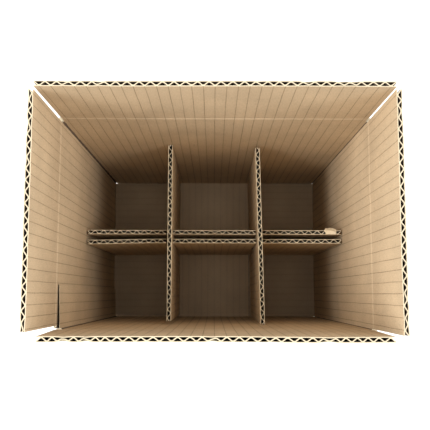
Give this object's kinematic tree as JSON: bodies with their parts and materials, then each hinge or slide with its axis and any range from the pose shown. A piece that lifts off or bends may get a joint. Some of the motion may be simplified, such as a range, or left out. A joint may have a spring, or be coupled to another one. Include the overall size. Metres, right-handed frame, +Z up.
{
  "type": "bottle shipping box",
  "caption": "Open corrugated cardboard shipping box with four fold-down top flaps and crossed corrugated dividers that make cells for bottles.",
  "frame": {"origin": "middle of the underside of the box", "axes": "+X along the long side to the right, +Y to the back, +Z up out of the open top"},
  "size_m": [0.258, 0.1764, 0.408],
  "materials": {
    "box_board": "matte kraft liner with the glue lines of the flutes showing, pale cut edges",
    "divider_board": "matte kraft liner, cut edges that show the flutes"
  },
  "bodies": {
    "box": {"box_body": "box_board", "long_divider_back": "divider_board", "long_divider_front": "divider_board", "cross_divider_left": "divider_board", "cross_divider_right": "divider_board"},
    "back_flap": {"top_flap_back": "box_board"},
    "front_flap": {"top_flap_front": "box_board"},
    "left_flap": {"top_flap_left": "box_board"},
    "right_flap": {"top_flap_right": "box_board"}
  },
  "joints": [
    {"name": "back_flap_fold", "type": "hinge", "parent": "box", "child": "back_flap", "pos_m": [0, 0.08825, 0.322], "axis": [-1, 0, 0], "range_deg": [-90, 175]},
    {"name": "front_flap_fold", "type": "hinge", "parent": "box", "child": "front_flap", "pos_m": [0, -0.08825, 0.322], "axis": [1, 0, 0], "range_deg": [-90, 175]},
    {"name": "left_flap_fold", "type": "hinge", "parent": "box", "child": "left_flap", "pos_m": [-0.129, 0, 0.3178], "axis": [0, -1, 0], "range_deg": [-90, 175]},
    {"name": "right_flap_fold", "type": "hinge", "parent": "box", "child": "right_flap", "pos_m": [0.129, 0, 0.3178], "axis": [0, 1, 0], "range_deg": [-90, 175]}
  ]
}
